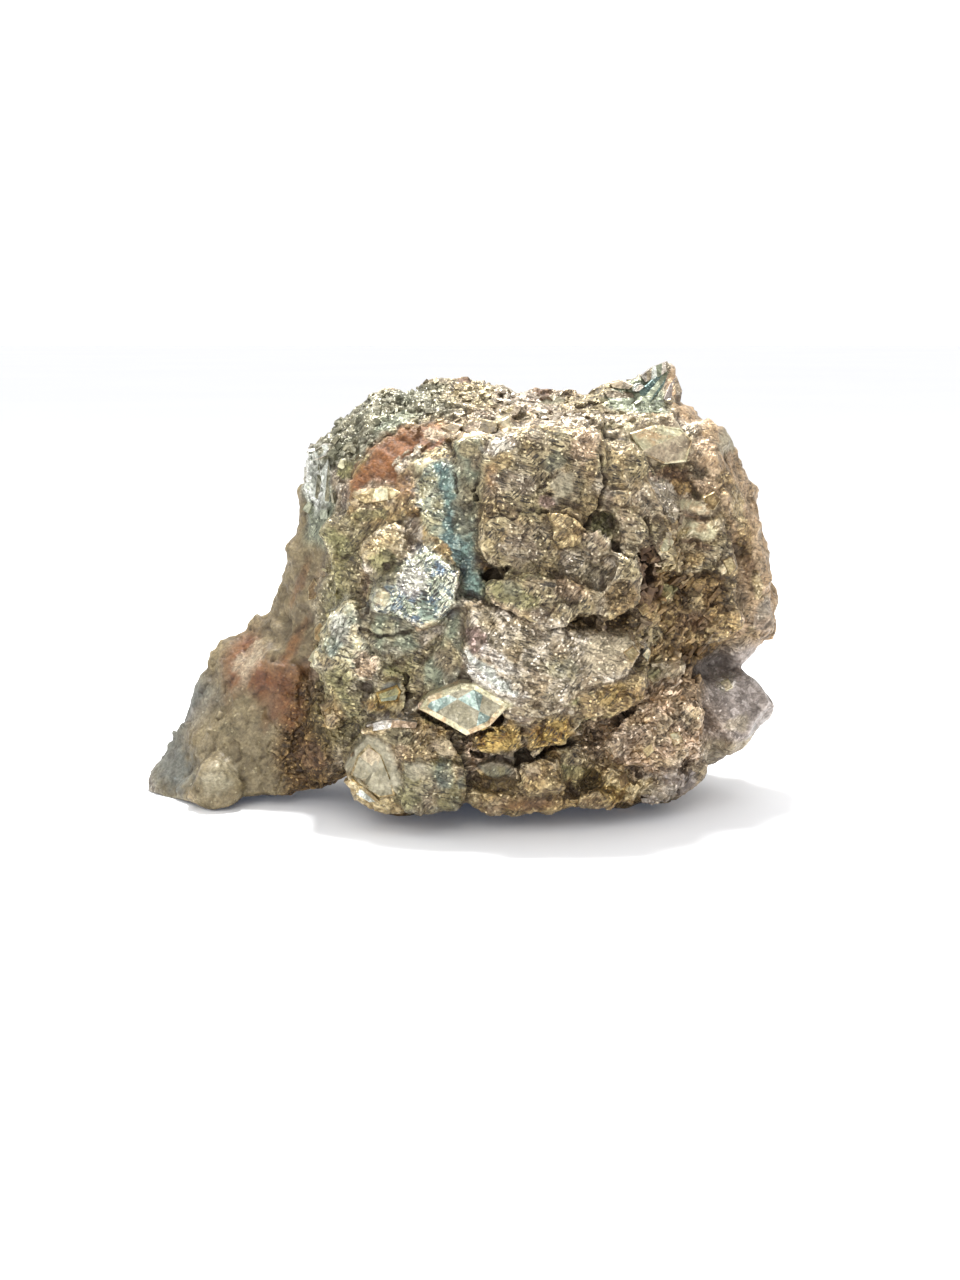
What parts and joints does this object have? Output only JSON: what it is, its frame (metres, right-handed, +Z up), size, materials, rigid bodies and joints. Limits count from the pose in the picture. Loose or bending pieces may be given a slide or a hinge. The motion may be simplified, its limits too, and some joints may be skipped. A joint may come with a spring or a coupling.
{
  "type": "rough pyrite",
  "caption": "Rough pyrite hand specimen: a grown aggregate of brassy crystals with a thin wedge of matrix at one end, lying on a few flat spots.",
  "frame": {"origin": "centre of the bounding box, at the height of the surface the specimen rests on", "axes": "+Z up; +X from the thin wedge of matrix towards the thick end; -Y is the side with the large crystal faces"},
  "size_m": [0.0904, 0.049, 0.0609],
  "materials": {
    "pyrite": "brassy metallic crystal faces, dulled by brown, grey and blue tarnish and rusty staining"
  },
  "bodies": {
    "root": {"pyrite_rock": "pyrite"}
  },
  "joints": []
}
